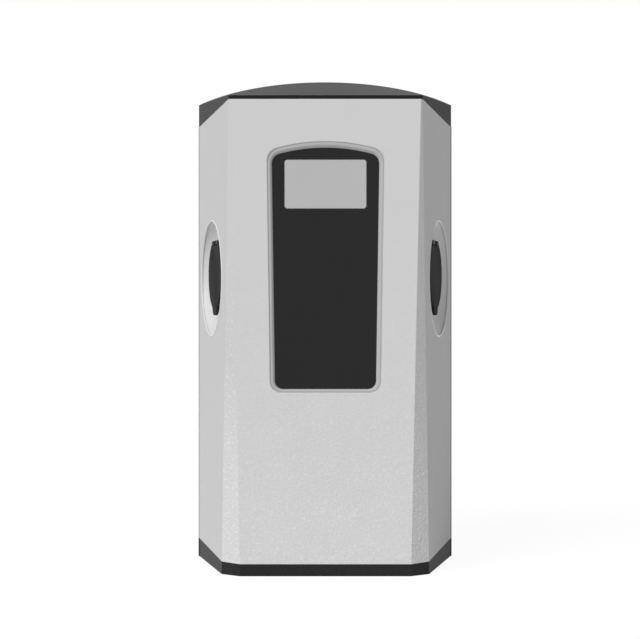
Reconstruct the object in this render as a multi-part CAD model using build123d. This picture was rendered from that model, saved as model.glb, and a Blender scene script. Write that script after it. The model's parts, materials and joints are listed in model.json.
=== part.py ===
from build123d import *
import math
import os

# A wall-mounted charging point with one socket in each side.
# Millimetres. x runs across, y towards the wall, z up. The origin is under the middle of the outline.
# Many places are given as a depth: the distance in front of the wall.

# Overall outline
overall_depth = 201.0
overall_height = 600.0
back_half_width = 159.8
brow_half_width = 111.3
foot_depth = 174.3
brow_drop = 42.9
foot_half_width = 100.0
brow_inner_half_width = 109.9
strip_angle = 37.6
edge_round = 1.2
upright_share = 0.9
overrun = 2.0

# Seams between the shell and its cap and foot
cap_seam_back_drop = 57.3
cap_seam_front_drop = 47.1
foot_seam_back = 23.0
foot_seam_front = 14.2
roof_rise = 29.4
roof_half_axis = 200.0

# Rear housing
rim_proud = 0.6
rim_thickness = 4.0
tray_depth = 17.0
tray_wall = 2.5
tray_clearance = 0.4
gasket_thickness = 2.0
gasket_width = 2.4
gasket_margin = 0.3
wall_hole_radius = 4.25
wall_hole_inset = 24.8
wall_hole_low = 65.0
wall_hole_drop = 95.0
wall_boss_radius = 9.0
wall_boss_height = 5.0
back_recess = 1.2
back_border = 14.0
back_bar_half = 7.0
back_pad_radius = 13.0

# Front shell
shell_wall = 3.0
shell_rib_thickness = 2.0
shell_rib_height = 9.0
shell_rib_heights = (150.0, 95.0)
cap_wall = 2.5
cap_boss_radius = 5.0
cap_boss_half_x = 70.0
cap_boss_depths = (60.0, 150.0)
base_boss_radius = 5.0
base_boss_half_x = 84.0
base_boss_depths = (30.0, 130.0)

# Window recess and panel in the front face
panel_foot_share = 0.3642
panel_peak_drop = 102.8
panel_arch_radius = 207.0
panel_foot_half = 58.5
panel_top_half = 62.0
panel_top_round = 11.5
panel_foot_round = 9.5
panel_thickness = 3.0
bevel_depth = 4.0
bevel_side = 6.2
bevel_top = 7.8
bevel_foot = 4.5
panel_gasket_thickness = 0.8
panel_gasket_width = 4.0
panel_fit = 0.15
screen_half_width = 47.4
screen_top_drop = 116.4
screen_height = 56.5
screen_round = 3.5
screen_proud = 0.3
screen_edge = 0.6

# Round dishes: a moulded bowl with a fine bead for its rim, in a round hole in each side
dish_depth_place = 89.4
dish_height_share = 0.5817
dish_radius = 70.0
dish_floor_radius = 51.0
dish_sink = 13.0
dish_sagitta = 3.0
bowl_wall = 2.5
bead_reach = 1.2
bead_proud = 0.6
bowl_hole_margin = 0.2
bowl_fit = 0.1
bowl_boss_radius = 4.0
bowl_boss_length = 6.0
bowl_clip_half = 8.0
bowl_clip_length = 5.0
bowl_clip_reach = 1.6

# Side sockets, measured outwards along the dish axis from the plane of the side
socket_gasket_thickness = 1.0
flange_radius = 41.0
flange_thickness = 2.4
flange_tab_half = 18.4
barrel_radius = 34.0
barrel_fit = 0.3
cavity_radius = 31.0
cavity_flat = 24.5
insert_radius = 25.5
insert_flat = 18.5
insert_sink = 7.4
cavity_length = 40.0
barrel_back = 4.0
power_hole_radius = 3.2
pilot_hole_radius = 1.8
sleeve_wall = 0.8
hole_mouth_length = 3.0
contact_tail = 8.0
power_contact_shares = ((-0.63, -0.02), (0.0, -0.02), (0.63, -0.02), (-0.33, -0.57), (0.33, -0.57))
pilot_contact_shares = ((-0.33, 0.45), (0.33, 0.45))
boot_length = 20.0
boot_wall = 2.0
socket_screw_place = 26.7
screw_radius = 2.0
screw_head_radius = 3.6
screw_head_height = 1.6
screw_length = 11.0
thread_fit = 0.02

# Spring lids
lid_face_sink = 3.6
lid_gap = 0.3
lid_radius = 42.0
lid_centre = 3.6
lid_top = 46.6
lid_bar_half = 27.0
lid_corner = 3.0
lid_tab_half = 22.0
lid_tab_foot = 43.4
lid_edge = 1.0
lid_skirt = 2.5
lid_roof = 2.7
knuckle_radius = 3.0
pin_radius = 1.5
pin_half = 18.0
pin_fit = 0.05
ear_inner = 12.4
ear_outer = 18.0
ear_side_gap = 0.5
ear_top_gap = 1.0
spring_half = 4.6
spring_wire = 0.45
spring_radius = 2.2
spring_turns = 3

# Socket locks
lock_half_width = 14.0
lock_height = 19.0
lock_front = 20.0
lock_length = 28.0
lock_pin_radius = 2.0
lock_pin_fit = 0.05
lock_pin_setback = 0.4
lock_pin_guide = 10.0
lock_travel = 5.0

# Inside carriers
plate_standoff = 6.0
plate_thickness = 1.5
plate_side_gap = 41.8
plate_foot = 42.0
plate_top_drop = 75.0
plate_boss_radius = 5.0
plate_boss_inset = 12.0
plate_screw_length = 6.0
rail_end_gap = 2.0
rail_lip_height = 17.5
rail_web_height = 13.5
rail_rise = 7.5
rail_metal = 1.0
rail_height_shares = (0.175, 0.355, 0.7633)

# DIN rail devices: half heights, depths in front of the rail, and widths
device_half_height = 42.5
device_nose_half = 22.5
device_shoulder = 44.0
device_nose = 60.0
device_hook = 1.2
breaker_width = 72.0
contactor_width = 54.0
meter_width = 36.0
supply_width = 72.0
terminal_width = 40.0
device_gap = 1.0
toggle_radius = 7.0
toggle_half_width = 14.0
toggle_lever = 8.0
toggle_lever_half = 2.0
toggle_fit = 0.4
toggle_pin_radius = 1.2
toggle_pin_fit = 0.05
toggle_pin_extra = 3.0
toggle_on_angle = 20.0
button_half = 3.0
button_length = 9.0
button_proud = 2.4
button_fit = 0.2
button_place = 24.0

# Boards behind the panel
module_half_width = 47.0
module_margin = 1.2
module_ear = 7.0
module_board_thickness = 1.6
module_can_thickness = 5.0
reader_half_width = 40.0
reader_foot_share = 0.391
reader_top_share = 0.75
reader_window_margin = 6.0
controller_half_width = 52.0
controller_foot_share = 0.103
controller_top_share = 0.918
controller_terminal_share = 0.8
controller_standoff = 15.0
standoff_radius = 3.5
standoff_inset = 6.0
chip_half = 12.0
chip_height = 3.0
ribbon_half_width = 10.0
ribbon_thickness = 0.4

# Cable entries
gland_shelf_half = 80.0
gland_shelf_depth = 62.0
gland_shelf_foot = 27.0
gland_shelf_thickness = 4.0
gland_notch_gap = 1.0
gland_depth_place = 36.0
supply_gland_x = -34.0
data_gland_x = 34.0
supply_thread_radius = 16.0
supply_flat_half = 18.0
supply_cable_radius = 10.5
data_thread_radius = 10.0
data_flat_half = 12.0
data_cable_radius = 4.5
gland_hex_height = 5.0
gland_nut_height = 14.0
gland_lock_height = 6.0
gland_thread_above = 9.0
gland_seal_length = 12.0
gland_fit = 0.05
nut_shoulder_share = 0.86
base_floor = 3.0
pocket_half = 66.0
pocket_low_depth = 12.0
pocket_high_depth = 60.0
vent_x = 64.0
vent_radius = 6.0
vent_head_radius = 9.0
vent_head_height = 4.0

# Inner parts
sensor_half_width = 18.0
sensor_depth = 40.0
sensor_height = 16.0
sensor_rise = 20.5
sensor_hole_radius = 7.0
lead_radius = 3.5
lead_turn_drop = 19.5
lead_run_out = 30.0
run_share = 0.45
earth_bar_half_width = 40.0
earth_bar_gap = 10.0
earth_bar_height = 10.0
earth_bar_depth = 8.0

brow_height = overall_height - brow_drop
cap_seam_back = overall_height - cap_seam_back_drop
cap_seam_front = overall_height - cap_seam_front_drop
roof_corner_height = overall_height - roof_rise
wall_hole_half_x = back_half_width - wall_hole_inset
wall_hole_high = overall_height - wall_hole_drop
plate_half_width = back_half_width - plate_side_gap
plate_top = overall_height - plate_top_drop
rail_half_length = plate_half_width - rail_end_gap
rail_heights = [share * overall_height for share in rail_height_shares]
dish_height = dish_height_share * overall_height
panel_foot = panel_foot_share * overall_height
panel_peak = overall_height - panel_peak_drop
screen_top = overall_height - screen_top_drop
screen_foot = screen_top - screen_height
below_screen = screen_foot - panel_foot
reader_foot = panel_foot + reader_foot_share * below_screen
reader_top = panel_foot + reader_top_share * below_screen
controller_foot = panel_foot + controller_foot_share * below_screen
controller_top = panel_foot + controller_top_share * below_screen
lock_pin_length = lock_pin_guide + lock_travel
side_slope = (back_half_width - brow_half_width) / overall_depth
side_angle = math.degrees(math.atan(side_slope))
lean = (overall_depth - foot_depth) / (brow_height - foot_seam_front)
lean_angle = math.degrees(math.atan(lean))


def depth_y(depth):
    return overall_depth / 2 - depth


def front_depth(height):
    return foot_depth + lean * (height - foot_seam_front)


def cap_seam(depth):
    return cap_seam_back + (cap_seam_front - cap_seam_back) * depth / overall_depth


def foot_seam(depth):
    return foot_seam_back + (foot_seam_front - foot_seam_back) * depth / foot_depth


def plan_face(height, inset):
    """The housing's outline at one height, before its corner strips, drawn in by an inset."""
    side = back_half_width - inset / math.cos(math.radians(side_angle))
    front = front_depth(height) - inset
    corners = [(side, depth_y(0)), (side - side_slope * front, depth_y(front))]
    mirrored = [(-x, y) for x, y in reversed(corners)]
    return Plane.XY.offset(height) * Polygon(*mirrored, *corners, align=None)


def strip_face(height, inset):
    """What the right corner strip cuts off at one height."""
    widening = (brow_inner_half_width - foot_half_width) / (brow_height - foot_seam_front)
    inner = foot_half_width + widening * (height - foot_seam_front)
    outward = Vector(math.sin(math.radians(strip_angle)), -math.cos(math.radians(strip_angle)))
    along = Vector(-outward.Y, outward.X) * foot_half_width
    anchor = Vector(inner, depth_y(front_depth(height))) - outward * inset
    beyond = outward * foot_half_width
    corners = [anchor - along, anchor - along + beyond, anchor + along + beyond, anchor + along]
    return Plane.XY.offset(height) * Polygon(*[(corner.X, corner.Y) for corner in corners], align=None)


def body_form(low, high, inset):
    form = loft([plan_face(low, inset), plan_face(high, inset)], ruled=True)
    strip = loft([strip_face(low, inset), strip_face(high, inset)], ruled=True)
    return form - strip - mirror(strip, about=Plane.YZ)


def round_corners(form):
    """Rounds the upright corners between the front, its strips and the sides."""
    corners = [edge for edge in form.edges() if abs((edge % 0.5).Z) > upright_share and edge.center().Y < 0]
    return fillet(corners, edge_round)


def side_prism(places, half_width):
    """A solid across the whole object from a side profile given as depth and height."""
    profile = Plane.YZ * Polygon(*[(depth_y(depth), height) for depth, height in places], align=None)
    return extrude(profile, amount=half_width, both=True)


def block(x_places, depths, heights):
    return side_prism(
        [(depths[0], heights[0]), (depths[1], heights[0]), (depths[1], heights[1]), (depths[0], heights[1])],
        (x_places[1] - x_places[0]) / 2,
    ).moved(Location(((x_places[0] + x_places[1]) / 2, 0, 0)))


def turned(profile):
    """A solid of revolution about z from radius and height pairs."""
    return revolve(Plane.XZ * Polygon(*profile, align=None), Axis.Z)


def upright_tube(outer, inner, low, high):
    ring = Circle(outer) - Circle(inner) if inner else Circle(outer)
    return extrude(Plane.XY.offset(low) * ring, amount=high - low)


def flat_disc(radius, flat):
    return Circle(radius) - Pos(0, flat + radius) * Rectangle(2 * radius, 2 * radius)


def plate(sketch, low, high):
    return extrude(Plane.XY.offset(low) * sketch, amount=high - low)


def screw(head_radius, head_height, length):
    """A countersunk screw with its head's face at zero and its shank pointing down."""
    return turned([
        (0, 0),
        (head_radius, 0),
        (screw_radius, -head_height),
        (screw_radius, -length),
        (0, -length),
    ])


def screw_seat(head_radius, head_height, length):
    """The hole that a countersunk screw fits, a hair larger than the screw."""
    return turned([
        (0, overrun),
        (head_radius + thread_fit, overrun),
        (head_radius + thread_fit, 0),
        (screw_radius + thread_fit, -head_height),
        (screw_radius + thread_fit, -length),
        (0, -length),
    ])


def group(pieces):
    """Separate solids kept together in one node."""
    return Compound(children=[solid for piece in pieces for solid in piece.solids()])


def both_sides(piece):
    return {"right": piece, "left": mirror(piece, about=Plane.YZ)}


# Frames: the dish axis in the right side, and the leaning front face
sine_side = math.sin(math.radians(side_angle))
cosine_side = math.cos(math.radians(side_angle))
dish_place = Plane(
    origin=(back_half_width - side_slope * dish_depth_place, depth_y(dish_depth_place), dish_height),
    x_dir=(sine_side, cosine_side, 0),
    z_dir=(cosine_side, -sine_side, 0),
).location
sine_lean = math.sin(math.radians(lean_angle))
cosine_lean = math.cos(math.radians(lean_angle))
face_place = Plane(
    origin=(0, depth_y(front_depth(0)), 0),
    x_dir=(1, 0, 0),
    z_dir=(0, -cosine_lean, -sine_lean),
).location


def up_face(height):
    """How far up the leaning face a height is."""
    return height / cosine_lean


# Levels in the dish frame
dish_floor = -dish_sink
flange_back = dish_floor + socket_gasket_thickness
flange_face = flange_back + flange_thickness
insert_face = flange_face - insert_sink
cavity_floor = flange_face - cavity_length
barrel_end = cavity_floor - barrel_back
lid_face = -lid_face_sink
lid_back = flange_face + lid_gap
pin_height = lid_top - knuckle_radius
pin_level = flange_face + knuckle_radius + lid_gap

# Levels in the face frame, and depths of the inner carriers
panel_face = -bevel_depth
panel_back = panel_face - panel_thickness
tub_floor = panel_back - panel_gasket_thickness
tub_back = tub_floor - shell_wall
controller_level = tub_back - controller_standoff
plate_back = rim_thickness + plate_standoff
plate_front = plate_back + plate_thickness
rail_face = plate_front + rail_rise
toggle_depth = rail_face + device_nose - toggle_radius
toggle_side = breaker_width / 4
sensor_foot = rail_heights[1] + device_half_height + sensor_rise
earth_bar_top = rail_heights[2] - device_half_height - earth_bar_gap


def side_outline(margin, top_margin, foot_margin):
    """The panel's outline, moved outwards by its margins: straight sides under a shallow arch."""
    peak = up_face(panel_peak) + top_margin
    foot = up_face(panel_foot) - foot_margin
    top_half = panel_top_half + margin
    foot_half = panel_foot_half + margin
    radius = panel_arch_radius + top_margin
    shoulder = peak - radius + math.sqrt(radius**2 - top_half**2)
    lines = Polyline((-top_half, shoulder), (-foot_half, foot), (foot_half, foot), (top_half, shoulder))
    arch = ThreePointArc((top_half, shoulder), (0, peak), (-top_half, shoulder))
    outline = make_face(lines + arch)
    outline = fillet(outline.vertices().group_by(Axis.Y)[-1], panel_top_round + margin / 2)
    return fillet(outline.vertices().group_by(Axis.Y)[0], panel_foot_round + margin / 2)


def screen_outline(grow):
    half_height = up_face(screen_top - screen_foot) / 2
    middle = up_face(screen_top + screen_foot) / 2
    return Pos(0, middle) * RectangleRounded(
        2 * (screen_half_width + grow), 2 * (half_height + grow), screen_round + grow
    )


def between_seams(inset, back, reach):
    """The space between the two slanted seams, drawn in by an inset, from one depth to another."""
    return side_prism(
        [
            (back, foot_seam(back) + inset),
            (reach, foot_seam(reach) + inset),
            (reach, cap_seam(reach) - inset),
            (back, cap_seam(back) - inset),
        ],
        back_half_width + overrun,
    )


def dish_form(grow):
    """The bowl of a dish, grown by a wall, from its flat floor to above the side's plane."""
    floor_radius = dish_floor_radius + grow / 2
    rim_radius = dish_radius + grow
    floor = dish_floor - grow
    chord = math.hypot(rim_radius - floor_radius, floor)
    bulge = dish_sagitta / chord
    middle = (
        (floor_radius + rim_radius) / 2 - bulge * floor,
        floor / 2 - bulge * (rim_radius - floor_radius),
    )
    wall = ThreePointArc((floor_radius, floor), middle, (rim_radius, 0))
    lines = Polyline((rim_radius, 0), (rim_radius, overrun), (0, overrun), (0, floor), (floor_radius, floor))
    return revolve(Plane.XZ * make_face(wall + lines), Axis.Z)


def bowl_hole_radius():
    return dish_radius + bowl_hole_margin


def screw_places():
    spots = (-socket_screw_place, socket_screw_place)
    return [(x, y) for x in spots for y in spots]


def make_bowl():
    """A moulded bowl: a bead that seats on the side, a curved wall, a flat floor, bosses and clips."""
    neck = bowl_hole_radius() - bowl_fit
    bowl = dish_form(bowl_wall) & upright_tube(neck, 0, dish_floor - bowl_wall, 0)
    for x, y in screw_places():
        boss_end = dish_floor - bowl_wall - bowl_boss_length
        bowl += Pos(x, y, 0) * upright_tube(bowl_boss_radius, 0, boss_end, dish_floor)
    clip_top = -shell_wall - bowl_fit
    clip = turned([
        (neck - bowl_clip_reach, clip_top),
        (neck + bowl_clip_reach, clip_top),
        (neck, clip_top - bowl_clip_length),
        (neck - bowl_clip_reach, clip_top - bowl_clip_length),
    ])
    arms = Rectangle(2 * overall_depth, 2 * bowl_clip_half) + Rectangle(2 * bowl_clip_half, 2 * overall_depth)
    bowl += clip & plate(arms, clip_top - bowl_clip_length, clip_top)
    bowl -= dish_form(0)
    bead_outer = dish_radius + bead_reach
    bead_inner = dish_radius - bead_reach
    crown = ThreePointArc((bead_outer, 0), (dish_radius, bead_proud), (bead_inner, -bead_reach))
    foot = Polyline((bead_inner, -bead_reach), (neck, -bead_reach), (neck, 0), (bead_outer, 0))
    bowl += revolve(Plane.XZ * make_face(crown + foot), Axis.Z)
    bowl -= upright_tube(barrel_radius + barrel_fit, 0, barrel_end, 0)
    return dish_place * bowl - socket_screws(screw_seat)


def make_front_shell():
    back = rim_thickness + gasket_thickness
    reach = overall_depth + overrun
    outer = round_corners(body_form(0, brow_height + overrun, 0) & between_seams(0, back, reach))
    inner = body_form(0, brow_height + overrun, shell_wall) & between_seams(shell_wall, -overrun, reach)
    shell = outer - inner
    tub = side_outline(bevel_side + shell_wall, bevel_top + shell_wall, bevel_foot + shell_wall)
    shell += (face_place * plate(tub, tub_back, 0)) & outer
    for height in shell_rib_heights:
        shell += make_shell_rib(height)
    shell += make_base_bosses()
    hole = dish_place * upright_tube(bowl_hole_radius(), 0, dish_floor, overrun)
    for side_hole in both_sides(hole).values():
        shell -= side_hole
    shell -= face_place * make_window_cut()
    shell -= make_gland_notch()
    for seats in (cap_screws(screw_seat), base_screws(screw_seat), cover_screws(screw_seat)):
        shell -= seats
    return shell


def make_shell_rib(height):
    """A stiffening rib across the inside of the front face and its strips."""
    band = side_prism(
        [
            (tray_depth + shell_rib_height, height),
            (overall_depth, height),
            (overall_depth, height + shell_rib_thickness),
            (tray_depth + shell_rib_height, height + shell_rib_thickness),
        ],
        back_half_width,
    )
    outer = body_form(0, brow_height, shell_wall / 2)
    inner = body_form(0, brow_height, shell_wall + shell_rib_height)
    return (outer - inner) & band


def make_base_bosses():
    bosses = []
    for x, depth in base_boss_places():
        boss = Pos(x, depth_y(depth), 0) * upright_tube(base_boss_radius, 0, base_floor, foot_seam_back)
        bosses.append(boss & between_base_and_shell())
    return bosses


def between_base_and_shell():
    return side_prism(
        [
            (0, base_floor),
            (overall_depth, base_floor),
            (overall_depth, foot_seam(overall_depth) + shell_wall / 2),
            (0, foot_seam(0) + shell_wall / 2),
        ],
        back_half_width,
    )


def base_boss_places():
    return [(x, depth) for x in (-base_boss_half_x, base_boss_half_x) for depth in base_boss_depths]


def cap_boss_places():
    return [(x, depth) for x in (-cap_boss_half_x, cap_boss_half_x) for depth in cap_boss_depths]


def make_window_cut():
    """The bevelled recess, the panel's pocket and the two openings behind the panel."""
    rim = side_outline(bevel_side, bevel_top, bevel_foot)
    seat = side_outline(panel_fit, panel_fit, panel_fit)
    bevel = loft([rim, Plane.XY.offset(panel_face) * seat], ruled=True)
    cut = bevel + plate(rim, 0, overrun) + plate(seat, tub_floor, panel_face)
    middle = up_face(screen_top + screen_foot) / 2
    module = Pos(0, middle) * Rectangle(
        2 * (module_half_width + module_margin), up_face(screen_top - screen_foot) + module_margin
    )
    reader = Pos(0, up_face(reader_foot + reader_top) / 2) * Rectangle(
        2 * (reader_half_width - reader_window_margin),
        up_face(reader_top - reader_foot) - 2 * reader_window_margin,
    )
    return cut + plate(module, tub_back - overrun, tub_floor) + plate(reader, tub_back - overrun, tub_floor)


def make_gland_notch():
    return block(
        (-gland_shelf_half - gland_notch_gap, gland_shelf_half + gland_notch_gap),
        (0, gland_shelf_depth + gland_notch_gap),
        (0, gland_shelf_foot),
    )


def socket_screws(maker):
    """The four countersunk screws of one socket, or the seats that they fit."""
    one = maker(screw_head_radius, screw_head_height, screw_length)
    return dish_place * group([Pos(x, y, flange_face) * one for x, y in screw_places()])


def cap_screws(maker):
    """Screws that hold the cap from inside, their heads under the shell's top wall."""
    pieces = []
    for x, depth in cap_boss_places():
        low = cap_seam(depth) - shell_wall - screw_head_height
        one = maker(screw_head_radius, screw_head_height, screw_length)
        pieces.append(Pos(x, depth_y(depth), low) * Rot(180, 0, 0) * one)
    return group(pieces)


def base_screws(maker):
    one = maker(screw_head_radius, screw_head_height, screw_length)
    return group([Pos(x, depth_y(depth), 0) * Rot(180, 0, 0) * one for x, depth in base_boss_places()])


def cover_screws(maker):
    """Screws down through the shell's top wall into the rear housing."""
    one = maker(screw_head_radius, screw_head_height, screw_length)
    depth = (rim_thickness + tray_depth) / 2
    spots = [(x, depth) for x in (-wall_hole_half_x + wall_boss_radius, wall_hole_half_x - wall_boss_radius)]
    return group([Pos(x, depth_y(place), cap_seam(place)) * one for x, place in spots])


def roof_form(drop):
    """The cap's crown: ruled from a straight front edge to an arched back edge."""
    half_width = back_half_width + rim_proud
    rise = overall_height - roof_corner_height
    minor = rise / (1 - math.sqrt(1 - (half_width / roof_half_axis) ** 2))
    start = math.acos(half_width / roof_half_axis)
    foot = foot_seam_back
    arch = EllipticalCenterArc(
        (0, overall_height - drop - minor),
        roof_half_axis,
        minor,
        start_angle=math.degrees(start),
        arc_size=math.degrees(math.pi - 2 * start),
    )
    corner = roof_corner_height - drop
    lines = Polyline((-half_width, corner), (-half_width, foot), (half_width, foot), (half_width, corner))
    back = Plane.XZ.offset(-depth_y(0)) * make_face(arch + lines)
    brow = brow_height - drop
    front_half = brow_half_width + rim_proud
    front_lines = Polyline((-front_half, brow), (-front_half, foot), (front_half, foot), (front_half, brow))
    top_edge = Line((front_half, brow), (-front_half, brow))
    front = Plane.XZ.offset(-depth_y(overall_depth)) * make_face(top_edge + front_lines)
    return loft([back, front], ruled=True)


def above_seam(back):
    reach = overall_depth + overrun
    return side_prism(
        [
            (back, cap_seam(back)),
            (reach, cap_seam(reach)),
            (reach, overall_height + overrun),
            (back, overall_height + overrun),
        ],
        back_half_width + overrun,
    )


def make_top_cap():
    outer = roof_form(0) & body_form(foot_seam_back, overall_height + overrun, 0) & above_seam(0)
    inner_body = body_form(foot_seam_back, overall_height + overrun, cap_wall)
    inner = roof_form(cap_wall) & inner_body & above_seam(cap_wall)
    cap = outer - inner
    for x, depth in cap_boss_places():
        boss = Pos(x, depth_y(depth), 0) * upright_tube(cap_boss_radius, 0, cap_seam_back, overall_height)
        cap += boss & outer
    return cap - cap_screws(screw_seat)


def make_base_cap():
    def foot_space(low, back, reach):
        return side_prism(
            [(back, low), (reach, low), (reach, foot_seam(reach)), (back, foot_seam(back))],
            back_half_width + overrun,
        )

    foot_body = body_form(0, foot_seam_back + overrun, 0)
    outer = round_corners(foot_body & foot_space(0, rim_thickness, overall_depth))
    inner_body = body_form(0, foot_seam_back + 2 * overrun, cap_wall)
    inner = inner_body & foot_space(base_floor, rim_thickness + cap_wall, overall_depth)
    base = outer - inner
    pocket_depths = (pocket_low_depth, pocket_high_depth)
    base -= block((-pocket_half, pocket_half), pocket_depths, (-overrun, base_floor + overrun))
    return base - base_screws(screw_seat)


def make_rear_housing():
    """The dark tray against the wall: a proud back rim, low walls, the gland shelf and bosses."""
    rim = body_form(0, overall_height, -rim_proud) & side_prism(
        [(0, 0), (rim_thickness, 0), (rim_thickness, cap_seam(rim_thickness)), (0, cap_seam(0))],
        back_half_width + overrun,
    )
    inset = shell_wall + tray_clearance
    top = cap_seam_back - inset
    foot = gland_shelf_foot
    wall_band = side_prism([(0, foot), (tray_depth, foot), (tray_depth, top), (0, top)], back_half_width)
    well_band = side_prism(
        [
            (rim_thickness, foot + gland_shelf_thickness),
            (tray_depth + overrun, foot + gland_shelf_thickness),
            (tray_depth + overrun, top - tray_wall),
            (rim_thickness, top - tray_wall),
        ],
        back_half_width,
    )
    walls = body_form(0, overall_height, inset) & wall_band
    well = body_form(0, overall_height, inset + tray_wall) & well_band
    shelf = block(
        (-gland_shelf_half, gland_shelf_half), (0, gland_shelf_depth), (foot, foot + gland_shelf_thickness)
    )
    tray = rim + (walls - well) + shelf
    for x in (-gland_shelf_half, gland_shelf_half - tray_wall):
        tray += side_prism(
            [
                (rim_thickness, foot),
                (gland_shelf_depth, foot),
                (gland_shelf_depth, foot + gland_shelf_thickness),
                (rim_thickness, plate_foot),
            ],
            tray_wall / 2,
        ).moved(Location((x + tray_wall / 2, 0, 0)))
    forward = Plane.XZ.offset(-depth_y(rim_thickness)) * Circle(wall_boss_radius)
    for x, height in wall_hole_places():
        tray += Pos(x, 0, height) * extrude(forward, amount=wall_boss_height)
    boss = Plane.XZ.offset(-depth_y(rim_thickness)) * Circle(plate_boss_radius)
    for x, height in plate_boss_places():
        tray += Pos(x, 0, height) * extrude(boss, amount=plate_standoff)
    hole = Plane.XZ.offset(-depth_y(-overrun)) * Circle(wall_hole_radius)
    for x, height in wall_hole_places():
        tray -= Pos(x, 0, height) * extrude(hole, amount=rim_thickness + wall_boss_height + 2 * overrun)
    for x, radius in ((supply_gland_x, supply_thread_radius), (data_gland_x, data_thread_radius)):
        tray -= Pos(x, depth_y(gland_depth_place), 0) * upright_tube(
            radius + gland_fit, 0, foot - overrun, foot + gland_shelf_thickness + overrun
        )
    tray -= Pos(vent_x, depth_y(gland_depth_place), 0) * upright_tube(
        vent_radius + gland_fit, 0, foot - overrun, foot + gland_shelf_thickness + overrun
    )
    return tray - make_back_recess() - plate_screws(screw_seat) - cover_screws(screw_seat)


def make_back_recess():
    """The shallow hollow of the back, with a middle bar and four pads left to meet the wall."""
    half = back_half_width - back_border
    band = (foot_seam_back + back_border, cap_seam_back - back_border)
    recess = block((-half, half), (-overrun, back_recess), band)
    recess -= block((-back_bar_half, back_bar_half), (-overrun, back_recess), band)
    pad = Plane.XZ.offset(-depth_y(-overrun)) * Circle(back_pad_radius)
    for x, height in wall_hole_places():
        recess -= Pos(x, 0, height) * extrude(pad, amount=overrun + back_recess)
    return recess


def wall_hole_places():
    return [(x, z) for x in (-wall_hole_half_x, wall_hole_half_x) for z in (wall_hole_low, wall_hole_high)]


def plate_boss_places():
    half = plate_half_width - plate_boss_inset
    heights = (plate_foot + plate_boss_inset, plate_top - plate_boss_inset)
    return [(x, z) for x in (-half, half) for z in heights]


def plate_screws(maker):
    one = Rot(90, 0, 0) * maker(screw_head_radius, screw_head_height, plate_screw_length)
    return group([Pos(x, depth_y(plate_front), z) * one for x, z in plate_boss_places()])


def make_housing_gasket():
    """A flat seal between the rim of the rear housing and the back edge of the shell."""
    low = rim_thickness
    high = rim_thickness + gasket_thickness
    inset = gasket_margin + gasket_width
    outer = body_form(0, brow_height, gasket_margin) & between_seams(gasket_margin, low, high)
    inner = body_form(0, brow_height, inset) & between_seams(inset, low - overrun, high + overrun)
    return outer - inner


def make_display_panel():
    panel = plate(side_outline(0, 0, 0), panel_back, panel_face)
    return face_place * (panel - plate(screen_outline(panel_fit), panel_back - overrun, panel_face + overrun))


def make_panel_gasket():
    inner = side_outline(-panel_gasket_width, -panel_gasket_width, -panel_gasket_width)
    return face_place * plate(side_outline(0, 0, 0) - inner, tub_floor, panel_back)


def make_display_window():
    face = panel_face + screen_proud
    lens = plate(screen_outline(0), panel_back, face - screen_edge)
    foot = Plane.XY.offset(face - screen_edge) * screen_outline(0)
    bevel = loft([foot, Plane.XY.offset(face) * screen_outline(-screen_edge)], ruled=True)
    return face_place * (lens + bevel)


def make_display_module():
    """The display behind its window, on a board that seats on the back of the tub's floor."""
    middle = up_face(screen_top + screen_foot) / 2
    height = up_face(screen_top - screen_foot)
    glass = Pos(0, middle) * Rectangle(2 * module_half_width, height - module_margin)
    board = Pos(0, middle) * Rectangle(2 * (module_half_width + module_ear), height + 2 * module_ear)
    board_back = tub_back - module_board_thickness
    module = plate(glass, tub_back, panel_back) + plate(board, board_back, tub_back)
    return face_place * (module + plate(glass, board_back - module_can_thickness, board_back))


def make_reader_board():
    board = Pos(0, up_face(reader_foot + reader_top) / 2) * Rectangle(
        2 * reader_half_width, up_face(reader_top - reader_foot)
    )
    return face_place * plate(board, tub_back - module_board_thickness, tub_back)


def standoff_places():
    half = controller_half_width - standoff_inset
    heights = (up_face(controller_foot) + standoff_inset, up_face(controller_top) - standoff_inset)
    return [(x, v) for x in (-half, half) for v in heights]


def make_board_standoffs():
    post = upright_tube(standoff_radius, 0, controller_level, tub_back)
    return face_place * group([Pos(x, v, 0) * post for x, v in standoff_places()])


def make_controller_board():
    middle = up_face(controller_foot + controller_top) / 2
    board = plate(
        Pos(0, middle) * Rectangle(2 * controller_half_width, up_face(controller_top - controller_foot)),
        controller_level - module_board_thickness,
        controller_level,
    )
    back = controller_level - module_board_thickness
    for x in (-2 * chip_half, 2 * chip_half):
        chip = Pos(x, middle + chip_half) * Rectangle(2 * chip_half, 2 * chip_half)
        board += plate(chip, back - chip_height, back)
    terminal_strip = 2 * controller_terminal_share * controller_half_width
    terminals = Pos(0, up_face(controller_foot) + chip_half) * Rectangle(terminal_strip, chip_half)
    return face_place * (board + plate(terminals, back - 3 * chip_height, back))


def make_ribbon_lead():
    """The flat lead from the display's board down to the controller's edge."""
    top = up_face(screen_foot) + module_margin
    low = up_face(controller_top) + module_margin
    start = tub_back - module_board_thickness - module_can_thickness - ribbon_thickness / 2
    end = controller_level - module_board_thickness - ribbon_thickness / 2
    tail = standoff_inset + module_margin
    route = Polyline((top + standoff_inset, start), (top, start), (low, end), (low - tail, end))
    strip = Plane.YZ * trace(route, line_width=ribbon_thickness)
    return face_place * extrude(strip, amount=ribbon_half_width, both=True)


def contact_places():
    """Centre and mouth radius of each contact hole in the insert."""
    power = [(x * insert_radius, y * insert_radius, power_hole_radius) for x, y in power_contact_shares]
    pilot = [(x * insert_radius, y * insert_radius, pilot_hole_radius) for x, y in pilot_contact_shares]
    return power + pilot


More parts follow.
